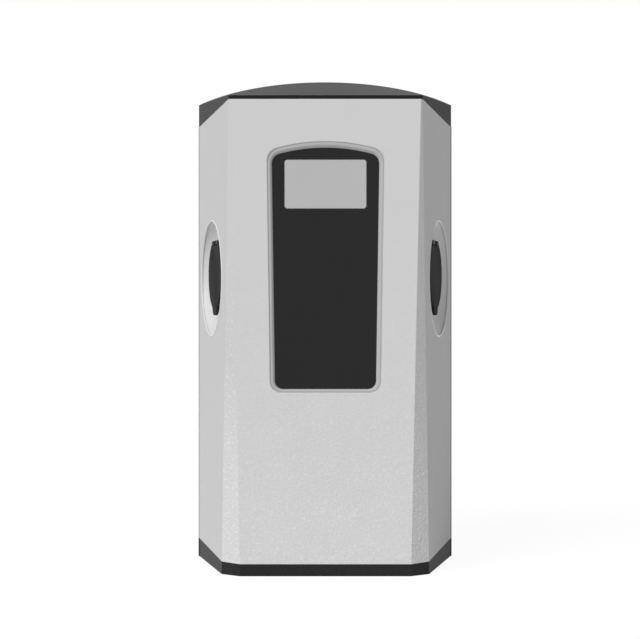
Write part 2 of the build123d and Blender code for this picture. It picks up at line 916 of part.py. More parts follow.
def make_socket_body():
    """Flange, D-shaped barrel and the insert inside it, with stepped holes for the contacts."""
    flange = Circle(flange_radius) + Pos(0, lid_top / 2) * Rectangle(2 * flange_tab_half, lid_top)
    body = plate(flange, flange_back, flange_face)
    barrel = flat_disc(barrel_radius, cavity_flat + barrel_radius - cavity_radius)
    body += plate(barrel, barrel_end, flange_back)
    body -= plate(flat_disc(cavity_radius, cavity_flat), cavity_floor, overrun)
    body += plate(flat_disc(insert_radius, insert_flat), cavity_floor, insert_face)
    for x, y, radius in contact_places():
        body -= Pos(x, y, 0) * upright_tube(radius, 0, insert_face - hole_mouth_length, overrun)
        body -= Pos(x, y, 0) * upright_tube(
            radius + sleeve_wall, 0, barrel_end - overrun, insert_face - hole_mouth_length
        )
    for side in (-1, 1):
        post = Rectangle(2 * knuckle_radius, pin_level - flange_face)
        ear = Plane.YZ * (
            Pos(pin_height, pin_level) * Circle(knuckle_radius)
            + Pos(pin_height, (pin_level + flange_face) / 2) * post
        )
        middle = side * (ear_inner + ear_outer) / 2
        body += Pos(middle, 0, 0) * extrude(ear, amount=(ear_outer - ear_inner) / 2, both=True)
    bore = Plane.YZ * Pos(pin_height, pin_level) * Circle(pin_radius + thread_fit)
    body -= extrude(bore, amount=ear_outer + overrun, both=True)
    body -= lock_pin_bore(cavity_flat - overrun, barrel_radius)
    return dish_place * body - socket_screws(screw_seat)


def lock_pin_level():
    return flange_back - lock_front - lock_length / 2


def lock_pin_bore(foot, length):
    bore = Plane.XZ.offset(-foot) * Pos(0, lock_pin_level()) * Circle(lock_pin_radius + lock_pin_fit)
    return extrude(bore, amount=-length)


def make_socket_contacts():
    """Seven sleeves with solid tails for the wires."""
    pieces = []
    for x, y, radius in contact_places():
        top = insert_face - hole_mouth_length
        sleeve = upright_tube(radius + sleeve_wall, radius, barrel_end, top)
        tail = upright_tube(radius + sleeve_wall, 0, barrel_end - contact_tail, barrel_end)
        pieces.append(Pos(x, y, 0) * (sleeve + tail))
    return dish_place * group(pieces)


def make_socket_gasket():
    ring = plate(Circle(flange_radius) - Circle(barrel_radius + barrel_fit), dish_floor, flange_back)
    return dish_place * ring - socket_screws(screw_seat)


def make_socket_boot():
    """The cup over the contact tails, with a hole for the lead."""
    shape = flat_disc(barrel_radius, cavity_flat + barrel_radius - cavity_radius)
    inner = flat_disc(barrel_radius - boot_wall, cavity_flat - boot_wall)
    low = barrel_end - boot_length
    cup = plate(shape, low, barrel_end) - plate(inner, low + boot_wall, barrel_end)
    return dish_place * cup


def make_lock_actuator():
    foot = cavity_flat + barrel_radius - cavity_radius
    front = flange_back - lock_front
    shape = Rectangle(2 * lock_half_width, lock_height)
    case = plate(Pos(0, foot + lock_height / 2) * shape, front - lock_length, front)
    return dish_place * (case - lock_pin_bore(foot - overrun, lock_pin_length + overrun))


def make_lock_pin():
    foot = cavity_flat + lock_pin_setback
    pin = Plane.XZ.offset(-foot) * Pos(0, lock_pin_level()) * Circle(lock_pin_radius)
    return dish_place * extrude(pin, amount=-lock_pin_length)


def lid_outline():
    disc = Pos(0, lid_centre) * Circle(lid_radius)
    bar = Pos(0, lid_top / 2) * RectangleRounded(2 * lid_bar_half, lid_top, lid_corner)
    tab = Pos(0, -lid_tab_foot / 2) * RectangleRounded(2 * lid_tab_half, lid_tab_foot, lid_corner)
    return disc + bar + tab


def make_lid():
    """A hollow lid with a flat hinge bar on top, two knuckles and a thumb tab below."""
    lid = plate(lid_outline(), lid_back, lid_face)
    lid = chamfer(lid.faces().sort_by(Axis.Z)[-1].edges(), lid_edge)
    hollow = flat_disc(lid_radius - lid_skirt, pin_height - 2 * knuckle_radius - lid_centre)
    lid -= Pos(0, lid_centre, 0) * plate(hollow, lid_back - overrun, lid_face - lid_roof)
    slot_foot = pin_height - knuckle_radius - ear_top_gap
    ear_middle = (ear_inner + ear_outer) / 2
    for side in (-1, 1):
        slot = Rectangle(ear_outer - ear_inner + 2 * ear_side_gap, lid_top)
        slot = Pos(side * ear_middle, slot_foot + lid_top / 2) * slot
        lid -= plate(slot, lid_back - overrun, overrun)
    spring_slot = Rectangle(2 * (spring_half + ear_side_gap), lid_top)
    spring_slot = Pos(0, slot_foot - ear_top_gap + lid_top / 2) * spring_slot
    lid -= plate(spring_slot, lid_back - overrun, overrun)
    low = spring_half + ear_side_gap
    high = ear_inner - ear_side_gap
    knuckle_face = Plane.YZ * Pos(pin_height, pin_level) * Circle(knuckle_radius)
    knuckle = extrude(knuckle_face, amount=(high - low) / 2, both=True)
    corner = Pos(0, pin_height + lid_top / 2) * Rectangle(2 * ear_outer, lid_top)
    lid -= plate(corner, lid_back - overrun, overrun)
    for side in (-1, 1):
        lid += Pos(side * (low + high) / 2, 0, 0) * knuckle
    bore = Plane.YZ * Pos(pin_height, pin_level) * Circle(pin_radius + pin_fit)
    return dish_place * (lid - extrude(bore, amount=ear_outer, both=True))


def make_lid_pin():
    pin = Plane.YZ * Pos(pin_height, pin_level) * Circle(pin_radius)
    return dish_place * extrude(pin, amount=pin_half, both=True)


def make_lid_spring():
    """The coil of the torsion spring round the pin."""
    pitch = 2 * (spring_half - spring_wire) / spring_turns
    coil = Helix(pitch, pitch * spring_turns, spring_radius)
    wire = Plane(coil @ 0, z_dir=coil % 0) * Circle(spring_wire)
    spring = sweep(wire, path=coil)
    return dish_place * (Pos(-pitch * spring_turns / 2, pin_height, pin_level) * Rot(0, 90, 0) * spring)


def make_gland(x, thread_radius, flat_half, cable_radius):
    """A cable gland through the shelf: its body, dome nut, seal and lock nut."""
    place = Pos(x, depth_y(gland_depth_place), 0)
    shelf = gland_shelf_foot
    top = shelf + gland_shelf_thickness
    hexagon = RegularPolygon(flat_half, 6, major_radius=False)
    bore = Circle(cable_radius)
    wide_bore = Circle((thread_radius + cable_radius) / 2)
    body = plate(hexagon - bore, shelf - gland_hex_height, shelf)
    body += plate(Circle(thread_radius) - bore, shelf, top + gland_thread_above)
    nut_low = shelf - gland_hex_height - gland_nut_height
    dome = turned([
        (flat_half * nut_shoulder_share, nut_low),
        (flat_half, nut_low + gland_hex_height),
        (flat_half, shelf - gland_hex_height),
        (0, shelf - gland_hex_height),
        (0, nut_low),
    ])
    nut = plate(hexagon, nut_low, shelf - gland_hex_height) & dome
    nut -= plate(wide_bore, nut_low - overrun, shelf)
    seal_low = shelf - gland_hex_height - gland_seal_length
    seal = plate(wide_bore - bore, seal_low, shelf - gland_hex_height)
    lock = plate(hexagon - Circle(thread_radius + gland_fit), top, top + gland_lock_height)
    return place * body, place * nut, place * seal, place * lock


def make_glands():
    supply = make_gland(supply_gland_x, supply_thread_radius, supply_flat_half, supply_cable_radius)
    data = make_gland(data_gland_x, data_thread_radius, data_flat_half, data_cable_radius)
    names = ("gland_bodies", "gland_dome_nuts", "gland_seals", "gland_lock_nuts")
    return {name: group(pair) for name, pair in zip(names, zip(supply, data))}


def make_vent_plug():
    place = Pos(vent_x, depth_y(gland_depth_place), 0)
    head = upright_tube(vent_head_radius, 0, gland_shelf_foot - vent_head_height, gland_shelf_foot)
    stem_top = gland_shelf_foot + gland_shelf_thickness + gland_hex_height
    stem = upright_tube(vent_radius, 0, gland_shelf_foot, stem_top)
    return place * (head + stem)


def make_chassis_plate():
    sheet = block((-plate_half_width, plate_half_width), (plate_back, plate_front), (plate_foot, plate_top))
    return sheet - plate_screws(screw_seat)


def make_rail(height):
    """A top-hat rail, its web on the plate and its lips forward."""
    profile = [
        (plate_front, height - rail_web_height),
        (plate_front, height + rail_web_height),
        (rail_face - rail_metal, height + rail_web_height),
        (rail_face - rail_metal, height + rail_lip_height),
        (rail_face, height + rail_lip_height),
        (rail_face, height + rail_web_height - rail_metal),
        (plate_front + rail_metal, height + rail_web_height - rail_metal),
        (plate_front + rail_metal, height - rail_web_height + rail_metal),
        (rail_face, height - rail_web_height + rail_metal),
        (rail_face, height - rail_lip_height),
        (rail_face - rail_metal, height - rail_lip_height),
        (rail_face - rail_metal, height - rail_web_height),
    ]
    return side_prism(profile, rail_half_length)


def device_case(height, width):
    """A rail device's stepped side profile with two hooks round the rail's lips."""
    hook_gap = rail_lip_height
    hook_back = rail_face - rail_metal - device_hook
    profile = [
        (rail_face, height - hook_gap),
        (hook_back, height - hook_gap),
        (hook_back, height - device_half_height),
        (rail_face + device_shoulder, height - device_half_height),
        (rail_face + device_shoulder, height - device_nose_half),
        (rail_face + device_nose, height - device_nose_half),
        (rail_face + device_nose, height + device_nose_half),
        (rail_face + device_shoulder, height + device_nose_half),
        (rail_face + device_shoulder, height + device_half_height),
        (hook_back, height + device_half_height),
        (hook_back, height + hook_gap),
        (rail_face, height + hook_gap),
    ]
    return side_prism(profile, width / 2)


def device(x, height, width):
    return Pos(x, 0, 0) * device_case(height, width)


def make_breaker(x, height):
    """A breaker case with a drum slot and pivot bores for the toggle and a pocket for the button."""
    case = device(x, height, breaker_width)
    drum = Plane.YZ * Pos(depth_y(toggle_depth), height) * Circle(toggle_radius + toggle_fit)
    slot = Plane.YZ * Pos(depth_y(toggle_depth + overall_depth / 2), height) * Rectangle(
        overall_depth, 2 * (toggle_radius + toggle_fit)
    )
    half = toggle_half_width + toggle_fit
    place = Pos(x - toggle_side, 0, 0)
    case -= place * extrude(drum + slot, amount=half, both=True)
    pivot = Plane.YZ * Pos(depth_y(toggle_depth), height) * Circle(toggle_pin_radius + toggle_pin_fit)
    case -= place * extrude(pivot, amount=half + toggle_pin_extra, both=True)
    pocket = button_half + button_fit
    nose = rail_face + device_nose
    return case - block(
        (x + button_place - pocket, x + button_place + pocket),
        (nose - button_length, nose + overrun),
        (height - pocket, height + pocket),
    )


def make_toggle(x, height):
    """A toggle: a drum with pivot stubs and a lever that stands up at rest, for on."""
    drum = Plane.YZ * Circle(toggle_radius)
    reach = toggle_radius + toggle_lever
    lever = Plane.YZ * Pos(-reach / 2, 0) * Rectangle(reach, 2 * toggle_lever_half)
    toggle = extrude(drum + lever, amount=toggle_half_width, both=True)
    stub = Plane.YZ * Circle(toggle_pin_radius)
    toggle += extrude(stub, amount=toggle_half_width + toggle_pin_extra - toggle_fit, both=True)
    return Pos(x - toggle_side, depth_y(toggle_depth), height) * Rot(-toggle_on_angle, 0, 0) * toggle


def make_test_button(x, height):
    nose = rail_face + device_nose
    return block(
        (x + button_place - button_half, x + button_place + button_half),
        (nose + button_proud - button_length, nose + button_proud),
        (height - button_half, height + button_half),
    )


def sensor_place(side):
    return side * (breaker_width + device_gap) / 2, plate_front + sensor_depth / 2


def make_current_sensor(side):
    """A ring that the socket's lead passes through."""
    x, depth = sensor_place(side)
    case = block(
        (x - sensor_half_width, x + sensor_half_width),
        (plate_front, plate_front + sensor_depth),
        (sensor_foot, sensor_foot + sensor_height),
    )
    return case - Pos(x, depth_y(depth), 0) * upright_tube(
        sensor_hole_radius, 0, sensor_foot - overrun, sensor_foot + sensor_height + overrun
    )


def make_power_lead():
    """The right socket's lead: up from the breaker, through the sensor and into the boot."""
    x, depth = sensor_place(1)
    start = Vector(x, depth_y(depth), rail_heights[1] + device_half_height)
    end = (dish_place * Pos(0, 0, barrel_end - boot_length)).position
    inward = Vector(*dish_place.z_axis.direction) * -1
    turn_point = Vector(start.X, start.Y, dish_height - lead_turn_drop)
    points = [start, turn_point, end + inward * lead_run_out, end]
    radii = []
    for before, here, after in zip(points, points[1:], points[2:]):
        turn = (here - before).get_angle(after - here)
        shorter = min((here - before).length, (after - here).length)
        radii.append(run_share * shorter / math.tan(math.radians(turn / 2)))
    print("lead radii", [round(radius, 1) for radius in radii])
    path = FilletPolyline(*points, radius=radii)
    return sweep(Plane(path @ 0, z_dir=path % 0) * Circle(lead_radius), path=path)


def make_earth_bar():
    return block(
        (-earth_bar_half_width, earth_bar_half_width),
        (plate_front, plate_front + earth_bar_depth),
        (earth_bar_top - earth_bar_height, earth_bar_top),
    )


def make_all():
    parts = {
        "rear_housing": make_rear_housing(),
        "front_shell": make_front_shell(),
        "top_cap": make_top_cap(),
        "base_cap": make_base_cap(),
        "housing_gasket": make_housing_gasket(),
        "cover_screws": cover_screws(screw),
        "base_screws": base_screws(screw),
        "cap_screws": cap_screws(screw),
        "vent_plug": make_vent_plug(),
        "display_panel": make_display_panel(),
        "panel_gasket": make_panel_gasket(),
        "display_window": make_display_window(),
        "display_module": make_display_module(),
        "reader_board": make_reader_board(),
        "controller_board": make_controller_board(),
        "board_standoffs": make_board_standoffs(),
        "ribbon_lead": make_ribbon_lead(),
        "chassis_plate": make_chassis_plate(),
        "plate_screws": plate_screws(screw),
        "earth_bar": make_earth_bar(),
        "din_rails": group([make_rail(height) for height in rail_heights]),
        "socket_gaskets": group(list(both_sides(make_socket_gasket()).values())),
        "socket_screws": group(list(both_sides(socket_screws(screw)).values())),
        "lid_pins": group(list(both_sides(make_lid_pin()).values())),
        "lid_springs": group(list(both_sides(make_lid_spring()).values())),
    }
    parts.update(make_glands())
    sided = {
        "bowl": make_bowl(),
        "socket_body": make_socket_body(),
        "socket_contacts": make_socket_contacts(),
        "socket_boot": make_socket_boot(),
        "lid": make_lid(),
        "lock_actuator": make_lock_actuator(),
        "lock_pin": make_lock_pin(),
        "power_lead": make_power_lead(),
    }
    for name, piece in sided.items():
        for side, copy in both_sides(piece).items():
            parts[side + "_" + name] = copy
    row = (breaker_width + device_gap) / 2
    low_row = contactor_width + device_gap
    for side, name in ((1, "right"), (-1, "left")):
        height = rail_heights[1]
        parts[name + "_breaker"] = make_breaker(side * row, height)
        parts[name + "_toggle"] = make_toggle(side * row, height)
        parts[name + "_test_button"] = make_test_button(side * row, height)
        parts[name + "_current_sensor"] = make_current_sensor(side)
        parts[name + "_contactor"] = device(side * low_row / 2, rail_heights[0], contactor_width)
        meter_x = side * (low_row + (meter_width + device_gap) / 2)
        parts[name + "_meter"] = device(meter_x, rail_heights[0], meter_width)
    parts["power_supply"] = device((supply_width + device_gap) / 2, rail_heights[2], supply_width)
    parts["terminal_block"] = device(-(terminal_width + device_gap) / 2, rail_heights[2], terminal_width)
    return parts


os.makedirs("parts", exist_ok=True)
for part_name, part_shape in make_all().items():
    export_step(part_shape, "parts/" + part_name + ".step")
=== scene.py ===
import json
import math

import bmesh
import bpy
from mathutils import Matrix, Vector


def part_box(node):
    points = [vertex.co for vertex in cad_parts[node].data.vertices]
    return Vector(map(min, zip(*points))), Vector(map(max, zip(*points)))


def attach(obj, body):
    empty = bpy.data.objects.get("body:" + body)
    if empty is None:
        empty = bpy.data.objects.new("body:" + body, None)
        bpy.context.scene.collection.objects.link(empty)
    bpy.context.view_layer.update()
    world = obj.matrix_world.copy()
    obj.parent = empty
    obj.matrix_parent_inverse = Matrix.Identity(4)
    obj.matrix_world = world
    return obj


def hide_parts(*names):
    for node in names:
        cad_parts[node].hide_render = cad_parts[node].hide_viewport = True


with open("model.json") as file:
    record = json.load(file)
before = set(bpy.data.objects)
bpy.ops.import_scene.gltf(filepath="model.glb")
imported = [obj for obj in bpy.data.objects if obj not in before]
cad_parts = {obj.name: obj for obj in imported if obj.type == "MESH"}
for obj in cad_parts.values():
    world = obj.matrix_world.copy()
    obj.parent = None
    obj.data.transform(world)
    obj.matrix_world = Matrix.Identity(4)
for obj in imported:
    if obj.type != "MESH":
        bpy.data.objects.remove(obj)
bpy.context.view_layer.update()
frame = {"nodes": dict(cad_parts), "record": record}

# A wall charging point in its studio: camera, light, finishes and the small pieces that the
# solids leave out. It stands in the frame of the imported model, whose unit is the metre. Sizes are
# written in millimetres, and mm turns them to metres.

mm = 0.001
nodes = frame["nodes"]


# Studio

focal_length = 95.5
sensor_width = 36
camera_distance = 1978 * mm
camera_height = 299.3 * mm
camera_left = 6.4 * mm
foot_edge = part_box("base_cap")[0].y


def make_camera():
    """A long lens, level, from the middle of the object's height, as the photograph was framed."""
    data = bpy.data.cameras.new("studio_camera")
    data.lens = focal_length
    data.sensor_width = sensor_width
    data.clip_start = 0.05
    data.clip_end = 50
    camera = bpy.data.objects.new("studio_camera", data)
    camera.location = (-camera_left, foot_edge - camera_distance, camera_height)
    camera.rotation_euler = (math.radians(90), 0, 0)
    bpy.context.scene.collection.objects.link(camera)
    bpy.context.scene.camera = camera


key_towards = (-0.34, -0.48, 0.5)
key_power = math.pi
key_width = 30
sky_level = 0.36
paper_level = 0.9
paper_glow = 1.04
paper_half = 6000
paper_fibre = 1.5


def make_key():
    """A broad key from the left front and above: it leaves the right side darker."""
    data = bpy.data.lights.new("key", "SUN")
    towards = Vector(key_towards)
    data.energy = key_power * towards.length
    data.angle = math.radians(key_width)
    key = bpy.data.objects.new("key", data)
    key.rotation_mode = "QUATERNION"
    key.rotation_quaternion = towards.to_track_quat("Z", "Y")
    bpy.context.scene.collection.objects.link(key)


# Nodes and colours


def linear(code):
    """A linear colour from an sRGB hex value."""
    channels = [int(code[place:place + 2], 16) / 255 for place in (0, 2, 4)]
    return tuple(c / 12.92 if c <= 0.04045 else ((c + 0.055) / 1.055) ** 2.4 for c in channels) + (1,)


def add(tree, kind, inputs=None, **settings):
    """Adds a node, with its settings, and its inputs as values or links."""
    node = tree.nodes.new(kind)
    for name, value in settings.items():
        setattr(node, name, value)
    for name, value in (inputs or {}).items():
        if isinstance(value, bpy.types.NodeSocket):
            tree.links.new(value, node.inputs[name])
        else:
            node.inputs[name].default_value = value
    return node


def grains(size):
    """A noise scale, in repeats a metre, whose grains are about that many millimetres."""
    return 1 / (size * mm)


def seen_share(tree):
    """One where the camera, gloss or glass looks, and nought for the light on the object."""
    path = add(tree, "ShaderNodeLightPath")
    seen = path.outputs["Is Camera Ray"]
    for ray in ("Is Glossy Ray", "Is Transmission Ray"):
        seen = add(tree, "ShaderNodeMath", {0: seen, 1: path.outputs[ray]}, operation="MAXIMUM").outputs[0]
    return seen


def make_world():
    """An even sky that lights the object, and looks white to the camera and in gloss."""
    world = bpy.data.worlds.new("studio")
    bpy.context.scene.world = world
    world.use_nodes = True
    tree = world.node_tree
    tree.nodes.clear()
    level = add(tree, "ShaderNodeMapRange", {"Value": seen_share(tree), "To Min": sky_level, "To Max": 1.0})
    sky = add(tree, "ShaderNodeBackground", {"Color": (1, 1, 1, 1), "Strength": level.outputs["Result"]})
    add(tree, "ShaderNodeOutputWorld", {"Surface": sky.outputs["Background"]})


def new_finish(name):
    """An empty material and its node tree."""
    finish = bpy.data.materials.new(name)
    finish.use_nodes = True
    finish.node_tree.nodes.clear()
    return finish, finish.node_tree


# Finishes

fleck_size = 2.6
fleck_relief = 1.0
fleck_top = 420
fleck_foot = 60
fleck_least = 0.08
fleck_most = 0.8
fleck_low = 0.53
fleck_high = 0.7
front_share = 0.6
# Painted shade on the coat: the heights where it grows on the strips, and its share on the sides.
painted_shade_foot = 100
painted_shade_top = 250
side_painted_shade = 0.42
coat_cloud = 45
plastic_cloud = 60
tool_grain_strength = 0.3
plastic_spread = 0.04
metal_spread = 0.06
# How far up a face must look for the painted top light to begin, and to be full.
top_light_from = 0.6
top_light_full = 0.8
housing_grain = 0.8
housing_grain_depth = 0.04
housing_foot = 22.4
housing_foot_edge = 0.4


def textured_powder_coat():
    """Textured polyester powder coat, sprayed and baked: pale grey and matt, with light flecks on the front
    and the corner strips that thicken towards the foot, most on the strips. Painted shade: the coat is
    painted a shade deeper high on the strips, and by a share of that on the sides. The sides are sprayed
    smooth. Real flecks are under a millimetre: they are drawn as coarse as they need to be to show."""
    finish, tree = new_finish("textured_powder_coat")
    place = add(tree, "ShaderNodeTexCoord").outputs["Object"]
    height = add(tree, "ShaderNodeSeparateXYZ", {"Vector": place}).outputs["Z"]
    low_down = add(
        tree,
        "ShaderNodeMapRange",
        {
            "Value": height,
            "From Min": fleck_top * mm,
            "From Max": fleck_foot * mm,
            "To Min": fleck_least,
            "To Max": fleck_most,
        },
    )
    normal = add(tree, "ShaderNodeNewGeometry").outputs["Normal"]
    sideways = add(tree, "ShaderNodeSeparateXYZ", {"Vector": normal}).outputs["X"]
    # How far a face turns aside: a front below 0.15, a strip from 0.4 to 0.75, a side above 0.9.
    turn = add(tree, "ShaderNodeMath", {0: sideways}, operation="ABSOLUTE")
    ahead = add(tree, "ShaderNodeMapRange", {"Value": turn.outputs[0], "From Min": 0.9, "From Max": 0.75})
    strip = add(tree, "ShaderNodeMapRange", {"Value": turn.outputs[0], "From Min": 0.15, "From Max": 0.4})
    heavy = add(
        tree, "ShaderNodeMapRange", {"Value": strip.outputs["Result"], "To Min": front_share, "To Max": 1.0}
    )
    sprayed = add(
        tree, "ShaderNodeMath", {0: ahead.outputs["Result"], 1: heavy.outputs["Result"]}, operation="MULTIPLY"
    )
    grain = add(
        tree, "ShaderNodeMath", {0: sprayed.outputs[0], 1: low_down.outputs["Result"]}, operation="MULTIPLY"
    )
    # Painted shade: C4C4C4, deeper than the coat, high on the strips and at a share over the sides.
    high_up = add(
        tree, "ShaderNodeMapRange", {"Value": height, "From Min": painted_shade_foot * mm, "From Max": painted_shade_top * mm}
    )
    cover = add(
        tree,
        "ShaderNodeMix",
        {"Factor": ahead.outputs["Result"], "A": side_painted_shade, "B": high_up.outputs["Result"]},
        data_type="FLOAT",
    )
    painted_shade = add(
        tree, "ShaderNodeMath", {0: strip.outputs["Result"], 1: cover.outputs["Result"]}, operation="MULTIPLY"
    )
    speck = add(
        tree,
        "ShaderNodeTexNoise",
        {"Vector": place, "Scale": grains(fleck_size), "Detail": 1.0, "Roughness": 0.5},
    )
    cloud = add(tree, "ShaderNodeTexNoise", {"Vector": place, "Scale": grains(coat_cloud), "Detail": 2.0})
    even = add(
        tree,
        "ShaderNodeMix",
        {"Factor": cloud.outputs["Fac"], "A": linear("CCCCCC"), "B": linear("D0D0D0")},
        data_type="RGBA",
    ).outputs["Result"]
    base = add(
        tree, "ShaderNodeMix", {"Factor": painted_shade.outputs[0], "A": even, "B": linear("C4C4C4")}, data_type="RGBA"
    ).outputs["Result"]
    blot = add(
        tree,
        "ShaderNodeMapRange",
        {"Value": speck.outputs["Fac"], "From Min": fleck_low, "From Max": fleck_high},
    )
    spray = add(
        tree, "ShaderNodeMath", {0: blot.outputs["Result"], 1: grain.outputs[0]}, operation="MULTIPLY"
    )
    colour = add(
        tree,
        "ShaderNodeMix",
        {"Factor": spray.outputs[0], "A": base, "B": linear("DEDEDE")},
        data_type="RGBA",
    ).outputs["Result"]
    bump = add(
        tree,
        "ShaderNodeBump",
        {"Height": speck.outputs["Fac"], "Strength": grain.outputs[0], "Distance": fleck_relief * mm},
    )
    shader = add(
        tree,
        "ShaderNodeBsdfPrincipled",
        {
            "Base Color": colour,
            "Roughness": 0.7,
            "IOR": 1.5,
            "Specular IOR Level": 0.1,
            "Normal": bump.outputs["Normal"],
        },
    )
    add(tree, "ShaderNodeOutputMaterial", {"Surface": shader.outputs["BSDF"]})
    return finish


def moulded_plastic(name, dark, light, roughness, grain, depth, shine=0.5, bloom=0.0, painted_top_light=None):
    """A moulded or extruded plastic with the grain of its tool, in millimetres, and its depth: two near
    colours, a shallow bump, and a bloom that lightens it where it is seen aslant. The painted top light is a
    paler colour painted on faces that look up: painted light from above."""
    finish, tree = new_finish(name)
    place = add(tree, "ShaderNodeTexCoord").outputs["Object"]
    speck = add(tree, "ShaderNodeTexNoise", {"Vector": place, "Scale": grains(grain), "Detail": 3.0})
    cloud = add(tree, "ShaderNodeTexNoise", {"Vector": place, "Scale": grains(plastic_cloud), "Detail": 2.0})
    colour = add(
        tree,
        "ShaderNodeMix",
        {"Factor": cloud.outputs["Fac"], "A": linear(dark), "B": linear(light)},
        data_type="RGBA",
    ).outputs["Result"]
    # Painted light: faces that look up are given a paler colour, as light from above would leave them.
    if painted_top_light:
        normal = add(tree, "ShaderNodeNewGeometry").outputs["Normal"]
        upward = add(tree, "ShaderNodeSeparateXYZ", {"Vector": normal}).outputs["Z"]
        top = add(
            tree,
            "ShaderNodeMapRange",
            {"Value": upward, "From Min": top_light_from, "From Max": top_light_full},
        )
        colour = add(
            tree,
            "ShaderNodeMix",
            {"Factor": top.outputs["Result"], "A": colour, "B": linear(painted_top_light)},
            data_type="RGBA",
        ).outputs["Result"]
    rough = add(
        tree,
        "ShaderNodeMapRange",
        {
            "Value": cloud.outputs["Fac"],
            "To Min": roughness - plastic_spread,
            "To Max": roughness + plastic_spread,
        },
    )
    bump = add(
        tree,
        "ShaderNodeBump",
        {"Height": speck.outputs["Fac"], "Strength": tool_grain_strength, "Distance": depth * mm},
    )
    shader = add(
        tree,
        "ShaderNodeBsdfPrincipled",
        {
            "Base Color": colour,
            "Roughness": rough.outputs["Result"],
            "IOR": 1.5,
            "Specular IOR Level": shine,
            "Sheen Weight": bloom,
            "Sheen Roughness": 0.5,
            "Normal": bump.outputs["Normal"],
        },
    )
    add(tree, "ShaderNodeOutputMaterial", {"Surface": shader.outputs["BSDF"]})
    return finish


def two_tone_housing():
    """Injection-moulded polycarbonate, a slightly deeper grey than the coat. It has a fine tool
    grain, and its foot is sprayed dark so that the dark band at the foot runs on round the back."""
    finish, tree = new_finish("moulded_polycarbonate_housing")
    place = add(tree, "ShaderNodeTexCoord").outputs["Object"]
    height = add(tree, "ShaderNodeSeparateXYZ", {"Vector": place}).outputs["Z"]
    low, high = housing_foot * mm, (housing_foot + housing_foot_edge) * mm
    above = add(tree, "ShaderNodeMapRange", {"Value": height, "From Min": low, "From Max": high})
    speck = add(tree, "ShaderNodeTexNoise", {"Vector": place, "Scale": grains(housing_grain), "Detail": 3.0})
    cloud = add(tree, "ShaderNodeTexNoise", {"Vector": place, "Scale": grains(plastic_cloud), "Detail": 2.0})
    grey = add(
        tree,
        "ShaderNodeMix",
        {"Factor": cloud.outputs["Fac"], "A": linear("B8B8B8"), "B": linear("BDBDBD")},
        data_type="RGBA",
    ).outputs["Result"]
    colour = add(
        tree,
        "ShaderNodeMix",
        {"Factor": above.outputs["Result"], "A": linear("282828"), "B": grey},
        data_type="RGBA",
    ).outputs["Result"]
    bump = add(
        tree,
        "ShaderNodeBump",
        {
            "Height": speck.outputs["Fac"],
            "Strength": tool_grain_strength,
            "Distance": housing_grain_depth * mm,
        },
    )
    shader = add(
        tree,
        "ShaderNodeBsdfPrincipled",
        {
            "Base Color": colour,
            "Roughness": 0.65,
            "IOR": 1.5,
            "Specular IOR Level": 0.1,
            "Sheen Weight": 0.08,
            "Sheen Roughness": 0.5,
            "Normal": bump.outputs["Normal"],
        },
    )
    add(tree, "ShaderNodeOutputMaterial", {"Surface": shader.outputs["BSDF"]})
    return finish


def plated_metal(name, dark, light, roughness, grain):
    """A plated metal: drawn or rolled grain in two near tones, ten times as long as it is wide."""
    finish, tree = new_finish(name)
    place = add(tree, "ShaderNodeTexCoord").outputs["Object"]
    stretch = add(tree, "ShaderNodeMapping", {"Vector": place, "Scale": (0.1, 1.0, 1.0)})
    drawn = stretch.outputs["Vector"]
    lines = add(tree, "ShaderNodeTexNoise", {"Vector": drawn, "Scale": grains(grain), "Detail": 4.0})
    colour = add(
        tree,
        "ShaderNodeMix",
        {"Factor": lines.outputs["Fac"], "A": linear(dark), "B": linear(light)},
        data_type="RGBA",
    ).outputs["Result"]
    rough = add(
        tree,
        "ShaderNodeMapRange",
        {
            "Value": lines.outputs["Fac"],
            "To Min": roughness - metal_spread,
            "To Max": roughness + metal_spread,
        },
    )
    shader = add(
        tree,
        "ShaderNodeBsdfPrincipled",
        {"Base Color": colour, "Roughness": rough.outputs["Result"], "Metallic": 1.0},
    )
    add(tree, "ShaderNodeOutputMaterial", {"Surface": shader.outputs["BSDF"]})
    return finish


